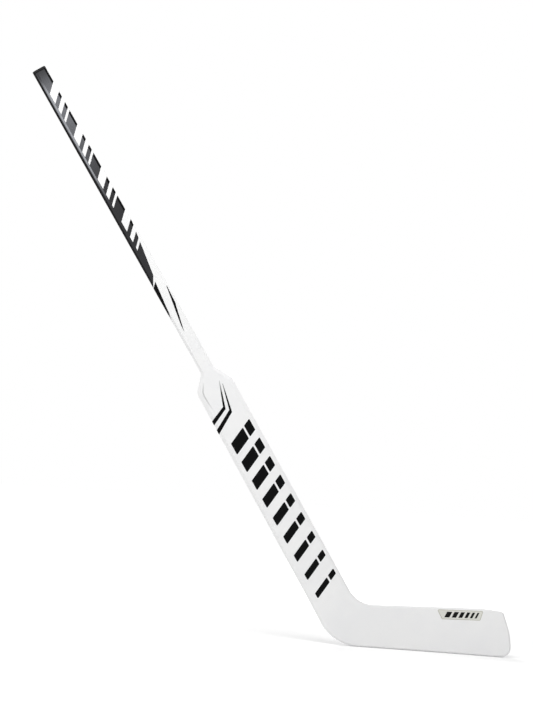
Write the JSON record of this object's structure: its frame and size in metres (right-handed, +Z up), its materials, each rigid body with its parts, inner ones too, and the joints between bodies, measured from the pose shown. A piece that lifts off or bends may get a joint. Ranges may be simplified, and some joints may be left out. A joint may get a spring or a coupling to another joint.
{
  "type": "hockey goalie stick",
  "caption": "Goalkeeper's hockey stick: hollow bevelled shaft with a pull-out end plug, a broad flat foam-cored paddle and a blade that curves towards its front.",
  "frame": {"origin": "middle of the blade's flat sole, on the plane of the shaft", "axes": "+Z up from the ice, +X along the sole from heel to toe, -Y out of the front face, the way the blade curves"},
  "size_m": [1.1026, 0.0363, 1.1863],
  "materials": {
    "shaft_coat": "satin black coat on composite",
    "plug_rubber": "matt black",
    "paddle_coat": "satin white coat on laminate",
    "blade_coat": "satin white coat on laminate",
    "label_foil": "pale foil sticker",
    "timber": "bare light hardwood",
    "dense_foam": "dense foam",
    "core_foam": "light foam",
    "stiffener": "woven fibre strip"
  },
  "bodies": {
    "stick": {"shaft_tube": "shaft_coat", "paddle_front_skin": "paddle_coat", "paddle_back_skin": "paddle_coat", "blade_front_skin": "blade_coat", "blade_back_skin": "blade_coat", "toe_label": "label_foil", "paddle_spar": "timber", "paddle_rail_outer": "timber", "paddle_rail_inner": "timber", "shoulder_cheek_outer": "dense_foam", "shoulder_cheek_inner": "dense_foam", "heel_block": "dense_foam", "toe_insert": "dense_foam", "paddle_core_outer": "core_foam", "paddle_core_inner": "core_foam", "blade_upper_core": "core_foam", "blade_lower_core": "core_foam", "blade_rib": "stiffener", "sole_strip": "stiffener", "top_strip": "stiffener"},
    "plug": {"butt_plug": "plug_rubber"}
  },
  "joints": [
    {"name": "plug_pull", "type": "slide", "parent": "stick", "child": "plug", "axis": [-0.5505, 0, 0.8348], "range_m": [0, 0.06]}
  ]
}
